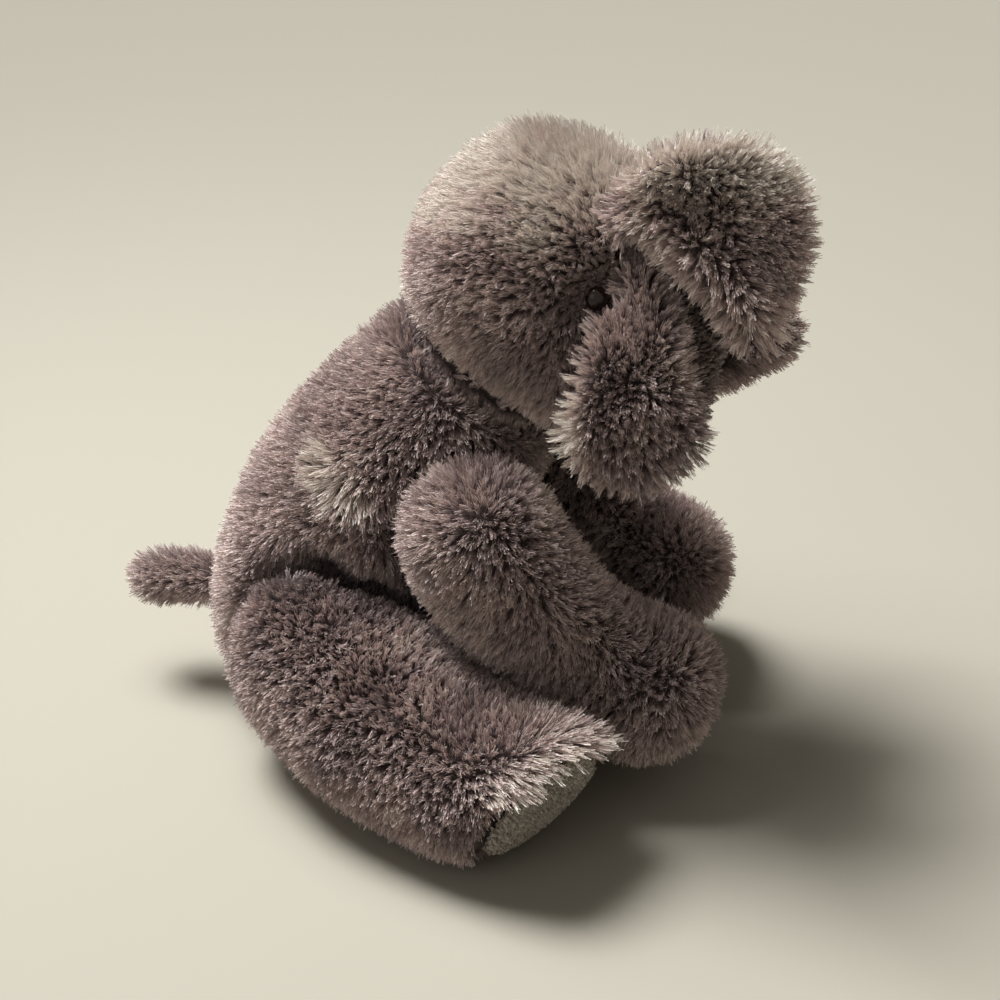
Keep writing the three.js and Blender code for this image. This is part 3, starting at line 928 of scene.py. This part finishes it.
def arm(side):
    name = "arm_" + side
    return {
        "name": name, "body": name, "nodes": (name + "_skin", name + "_stuffing"),
        "voxel": 0.0045, "ease": 6, "inset": 0.0015, "fill": 0.7,
        "coat": flowing((-1.2, 0.0, -0.9)), "panels": oneCoat,
    }


def leg(side):
    name = "leg_" + side
    return {
        "name": name, "body": name, "nodes": (name + "_skin", name + "_stuffing"),
        "voxel": 0.0045, "ease": 6, "inset": 0.003, "fill": 0.7,
        "coat": legCoat(side), "panels": oneCoat, "bare": underSole(side),
    }


earRight = {**ear("right"), "coat": rightEarCoat, "trim": rightEarTrim, "shape": foldRightEar}
earLeft = {**ear("left"), "coat": leftEarCoat, "trim": leftEarTrim}
specs = [
    torso, neck, head, trunk, tail, earRight, earLeft,
    arm("right"), arm("left"), leg("right"), leg("left"),
]
skins = {spec["name"]: sewSkin(spec) for spec in specs}
print("skins sewn:", {name: len(skin.data.vertices) for name, skin in skins.items()})

swollen = [skins[name] for name in ("torso", "head", "arm_right", "arm_left", "leg_right", "leg_left")]
swell(swollen)
print("stuffing swollen")
for skin in swollen:
    refine(skin)
skinTrees = {skin.name: treeOf(skin.data) for skin in skins.values()}


# Creases, where one sleeve presses against another: carved in on the torso, with shorter pile and painted
# shade

crease = {
    "reach": 0.02,
    "full": 0.8,  # share of the closest touch at which it is deepest
    "depth": 0.012,
    "pile": 0.65,
    # painted shade in the creases
    "shade": -0.6,
    "limbs": 0.7,
    "shoulder": (0.095, 0.125),  # heights between which the seam under the arm fades out
}


def creaseOn(name, against):
    points = pointsOf(skins[name].data)
    groove = np.zeros(len(points))
    for other in against:
        tree = skinTrees[skins[other].name]
        for k, point in enumerate(points):
            gap = tree.find_nearest(Vector(point), crease["reach"])[3]
            if gap is not None:
                groove[k] = max(groove[k], 1 - gap / crease["reach"])
    return ease(groove, 0, crease["full"])


def belowShoulder(name):
    return 1 - ease(pointsOf(skins[name].data)[:, 2], *crease["shoulder"])


armCrease = creaseOn("torso", ("arm_right", "arm_left")) * belowShoulder("torso")
creases = {
    "torso": np.maximum(creaseOn("torso", ("head", "leg_right", "leg_left")), armCrease),
    "head": creaseOn("head", ("torso",)),
}
for side in ("right", "left"):
    armName, legName = "arm_" + side, "leg_" + side
    creases[armName] = crease["limbs"] * creaseOn(armName, ("torso", legName)) * belowShoulder(armName)
    creases[legName] = crease["limbs"] * creaseOn(legName, ("torso", armName))


def carve(name):
    skin = skins[name]
    depth = (crease["depth"] * creases[name])[:, None]
    setPoints(skin.data, pointsOf(skin.data) - normalsOf(skin.data) * depth)
    skinTrees[skin.name] = treeOf(skin.data)


carve("torso")
print("creases carved")


# Dressing: the pile on each sleeve, shorter and thinner where there is little room for it

crowding = {
    "reach": 0.016,
    "share": 0.9,  # of the room that the pile may fill
    "shortest": 0.4,
    "bareBelow": 0.0008,
    "thinnest": 0.3,
    "thin": (0.001, 0.006),
}
guides = ("comb", "pile", "thick", "shade")


def roomAround(skin, others):
    reach = crowding["reach"]
    points, normals = pointsOf(skin.data), normalsOf(skin.data)
    down = np.maximum(-normals[:, 2], tiny)
    room = np.where(normals[:, 2] < 0, np.minimum(points[:, 2] / down, reach), reach)
    for other in others:
        tree = skinTrees[other.name]
        cover = pointsOf(other.data)
        inside = (points > cover.min(0) - reach) & (points < cover.max(0) + reach)
        for k in np.nonzero(inside.all(axis=1))[0]:
            way = Vector(normals[k])
            hit, facing, _, gap = tree.ray_cast(Vector(points[k]), way)
            if hit is None:
                continue
            room[k] = 0 if facing.dot(way) > 0 else min(room[k], gap)
    return room


def growPile(name, skin, trim, finish, seed):
    holder = newObject("pileHolder", skin.data)
    modifier = holder.modifiers.new("pile", "NODES")
    modifier.node_group = pileTree
    sockets = {s.name: s.identifier for s in pileTree.interface.items_tree if s.in_out == "INPUT"}
    for key, value in {**trim, "Seed": seed, "Finish": finish}.items():
        modifier[sockets[key]] = value
    mesh = evaluatedMesh(holder)
    bpy.data.objects.remove(holder)
    for spare in ("along", "across", "tone", "strand", *guides):
        if spare in mesh.attributes:
            mesh.attributes.remove(mesh.attributes[spare])
    mesh.name = name
    triangles = sum(len(face.vertices) - 2 for face in mesh.polygons)
    print("pile", name, triangles, "triangles")
    return newObject(name, mesh)


def guide(skin, pile, comb, shade):
    setAttribute(skin.data, "pile", pile)
    setAttribute(skin.data, "shade", shade)
    setAttribute(skin.data, "comb", comb, "FLOAT_VECTOR")


def finishSkin(skin, spec, backing):
    for spare in guides:
        skin.data.attributes.remove(skin.data.attributes[spare])
    skin.data.materials.clear()
    skin.data.materials.append(backing)
    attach(skin, spec["body"])
    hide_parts(*spec["nodes"])


def dressSkin(spec, seed):
    skin = skins[spec["name"]]
    points, normals = pointsOf(skin.data), normalsOf(skin.data)
    room = roomAround(skin, [other for name, other in skins.items() if name != spec["name"]])
    pile, comb, shade = spec["coat"](points, normals)
    groove = creases.get(spec["name"], np.zeros(len(points)))
    pile = pile * (1 - crease["pile"] * groove) * spec.get("pile", 1)
    pile = pile * np.clip(crowding["share"] * room / furTrim["Pile Length"], crowding["shortest"], 1)
    thick = crowding["thinnest"] + (1 - crowding["thinnest"]) * ease(room, *crowding["thin"])
    thick = np.where(room > crowding["bareBelow"], thick, 0.0)
    if "bare" in spec:
        thick = np.where(spec["bare"](points, normals), 0, thick)
    comb = alongSkin(comb, normals)
    # the crease adds painted shade
    guide(skin, pile, comb, shade + crease["shade"] * groove)
    for panel, share in spec["panels"].items():
        setAttribute(skin.data, "thick", thick * share(points))
        made = growPile(spec["name"] + panel + "_pile", skin, spec.get("trim", furTrim), taupePile, seed)
        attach(made, spec["body"])
        seed += 2
    if "lined" in spec:
        guide(skin, np.ones(len(points)), comb, np.zeros(len(points)))
        setAttribute(skin.data, "thick", thick * spec["lined"](points))
        made = growPile(spec["name"] + "_lining_nap", skin, liningTrim, liningNap, seed)
        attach(made, spec["body"])
        seed += 2
    finishSkin(skin, spec, darkBacking)
    return seed


seed = 1
for spec in specs:
    seed = dressSkin(spec, seed)
print("sleeves dressed")


# Short pile: soles and the end of the trunk

soleRight = {
    "name": "sole_right", "body": "leg_right", "nodes": ("sole_right",),
    "voxel": 0.0018, "ease": 3, "inset": 0.001, "fill": 0.6,
    "finish": soleNap, "backing": paleBacking,
}
soleLeft = {**soleRight, "name": "sole_left", "body": "leg_left", "nodes": ("sole_left",)}
trunkTip = {
    "name": "trunk_tip", "body": "trunk", "nodes": ("trunk_tip",),
    "voxel": 0.0012, "ease": 3, "inset": 0.0006, "fill": 0.6,
    "finish": liningNap, "backing": darkBacking,
}


def napSkin(spec, seed):
    skin = sewSkin(spec)
    skin.data.shade_smooth()
    count = len(skin.data.vertices)
    guide(skin, np.ones(count), np.zeros((count, 3)), np.zeros(count))
    setAttribute(skin.data, "thick", np.ones(count))
    made = growPile(spec["name"] + "_nap", skin, napTrim, spec["finish"], seed)
    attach(made, spec["body"])
    finishSkin(skin, spec, spec["backing"])


for spec in (soleRight, soleLeft, trunkTip):
    napSkin(spec, seed)
    seed += 2
print("soles and trunk's tip dressed")


# Bead eyes, and the hidden pieces that stay as they are

bead = {"rings": 24, "steps": 12, "depth": 0.8}


def makeBead(side):
    points = pointsOf(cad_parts["eye_" + side].data)
    gaps = np.linalg.norm(points[:, None] - points[None], axis=2)
    first, second = np.unravel_index(gaps.argmax(), gaps.shape)
    inner = np.array(middleOf("head_skin"))
    front, back = sorted((points[first], points[second]), key=lambda p: -np.linalg.norm(p - inner))
    axis = (front - back) / np.linalg.norm(front - back)
    reach = points - front
    radius = np.linalg.norm(reach - (reach @ axis)[:, None] * axis, axis=1).max()
    turn = Vector(axis).to_track_quat("Z", "Y")
    rings, steps = bead["rings"], bead["steps"]
    verts, faces = [], []
    for step in range(1, steps):
        angle = math.pi * step / steps
        wide = math.sin(angle)
        deep = bead["depth"] * (math.cos(angle) - 1)
        for ring in range(rings):
            around = 2 * math.pi * ring / rings
            spot = Vector((wide * math.cos(around), wide * math.sin(around), deep))
            verts.append(Vector(front) + turn @ (spot * radius))
    for step in range(steps - 2):
        for ring in range(rings):
            here, below = step * rings, (step + 1) * rings
            after = (ring + 1) % rings
            faces.append((here + ring, below + ring, below + after, here + after))
    faces.append(tuple(range(rings)))
    faces.append(tuple(reversed(range(len(verts) - rings, len(verts)))))
    mesh = bpy.data.meshes.new("bead_" + side)
    mesh.from_pydata(verts, [], faces)
    mesh.materials.append(polishedBead)
    mesh.shade_smooth()
    made = newObject("bead_" + side, mesh)
    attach(made, "head")
    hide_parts("eye_" + side)


for side in ("right", "left"):
    makeBead(side)

hidden = {"pellet_pouch": pouchCloth, "eye_washer_right": washerFinish, "eye_washer_left": washerFinish}
for node, finish in hidden.items():
    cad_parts[node].data.materials.clear()
    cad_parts[node].data.materials.append(finish)
print("beads set")


# Stage: camera, floor and light

cameraView = {
    "turn": 8,  # degrees from the toy's right side towards its face
    "rise": 30,
    "distance": 0.8,
    "target": (0.021, 0, 0.095),
    "lens": 71.3,
    "sensor": 36,
}
studio = {
    "floorSize": 60,
    "floorColour": "#b9b4a6",
    "floorRoughness": 0.9,
    "backdropColour": "#c9c3b4",
    "skyColour": "#fff8ef",
    "skyStrength": 0.12,
    "sunPlace": (-0.6, 0.3, 1.3),
    "sunSpread": 25,  # degrees
    "sunPower": 3.3,
    "keyPlace": (-0.25, 0.1, 0.68),
    "keySize": 0.4,
    "keyPower": 2.6,
    "fillPlace": (-0.7, -1.1, 0.9),
    "fillSize": 0.9,
    "fillPower": 1.3,
}


def setOut(name, data, place, aim):
    made = bpy.data.objects.new(name, data)
    made.location = place
    made.rotation_mode = "QUATERNION"
    made.rotation_quaternion = aim.to_track_quat("-Z", "Y")
    scene.collection.objects.link(made)
    return made


def placeCamera():
    turn = math.radians(cameraView["turn"])
    rise = math.radians(cameraView["rise"])
    back = Vector((math.sin(turn) * math.cos(rise), -math.cos(turn) * math.cos(rise), math.sin(rise)))
    lens = bpy.data.cameras.new("photoCamera")
    lens.sensor_width = cameraView["sensor"]
    lens.lens = cameraView["lens"]
    place = Vector(cameraView["target"]) + back * cameraView["distance"]
    scene.camera = setOut("photoCamera", lens, place, -back)


def areaLight(name, place, size, power):
    lamp = bpy.data.lights.new(name, "AREA")
    lamp.size = size
    lamp.energy = power
    setOut(name, lamp, place, Vector(cameraView["target"]) - Vector(place))


def sunLight(name, place, spread, power):
    lamp = bpy.data.lights.new(name, "SUN")
    lamp.angle = math.radians(spread)
    lamp.energy = power
    setOut(name, lamp, place, -Vector(place))


def lightStage():
    world = bpy.data.worlds.new("studioSky")
    scene.world = world
    world.use_nodes = True
    tree = world.node_tree
    sky = tree.nodes["Background"]
    sky.inputs["Color"].default_value = paint(studio["skyColour"])
    sky.inputs["Strength"].default_value = studio["skyStrength"]
    backdrop = put(tree, "ShaderNodeBackground", {"Color": paint(studio["backdropColour"])})
    rays = put(tree, "ShaderNodeLightPath").outputs
    mirrored = reckon(tree, "ADD", rays["Is Glossy Ray"], rays["Is Transmission Ray"])
    seen = reckon(tree, "ADD", rays["Is Camera Ray"], mirrored, clamp=True)
    both = put(tree, "ShaderNodeMixShader", {0: seen, 1: sky.outputs[0], 2: backdrop.outputs[0]})
    tree.links.new(both.outputs[0], tree.nodes["World Output"].inputs["Surface"])
    sunLight("sunLight", studio["sunPlace"], studio["sunSpread"], studio["sunPower"])
    areaLight("keyLight", studio["keyPlace"], studio["keySize"], studio["keyPower"])
    areaLight("fillLight", studio["fillPlace"], studio["fillSize"], studio["fillPower"])


def layFloor():
    material, tree, shader = newMaterial("paleFloor")
    shader.inputs["Base Color"].default_value = paint(studio["floorColour"])
    shader.inputs["Roughness"].default_value = studio["floorRoughness"]
    half = studio["floorSize"] / 2
    mesh = bpy.data.meshes.new("floor")
    corners = [(-half, -half, 0), (half, -half, 0), (half, half, 0), (-half, half, 0)]
    mesh.from_pydata(corners, [], [(0, 1, 2, 3)])
    mesh.materials.append(material)
    newObject("floor", mesh)


placeCamera()
lightStage()
layFloor()
print("stage set")
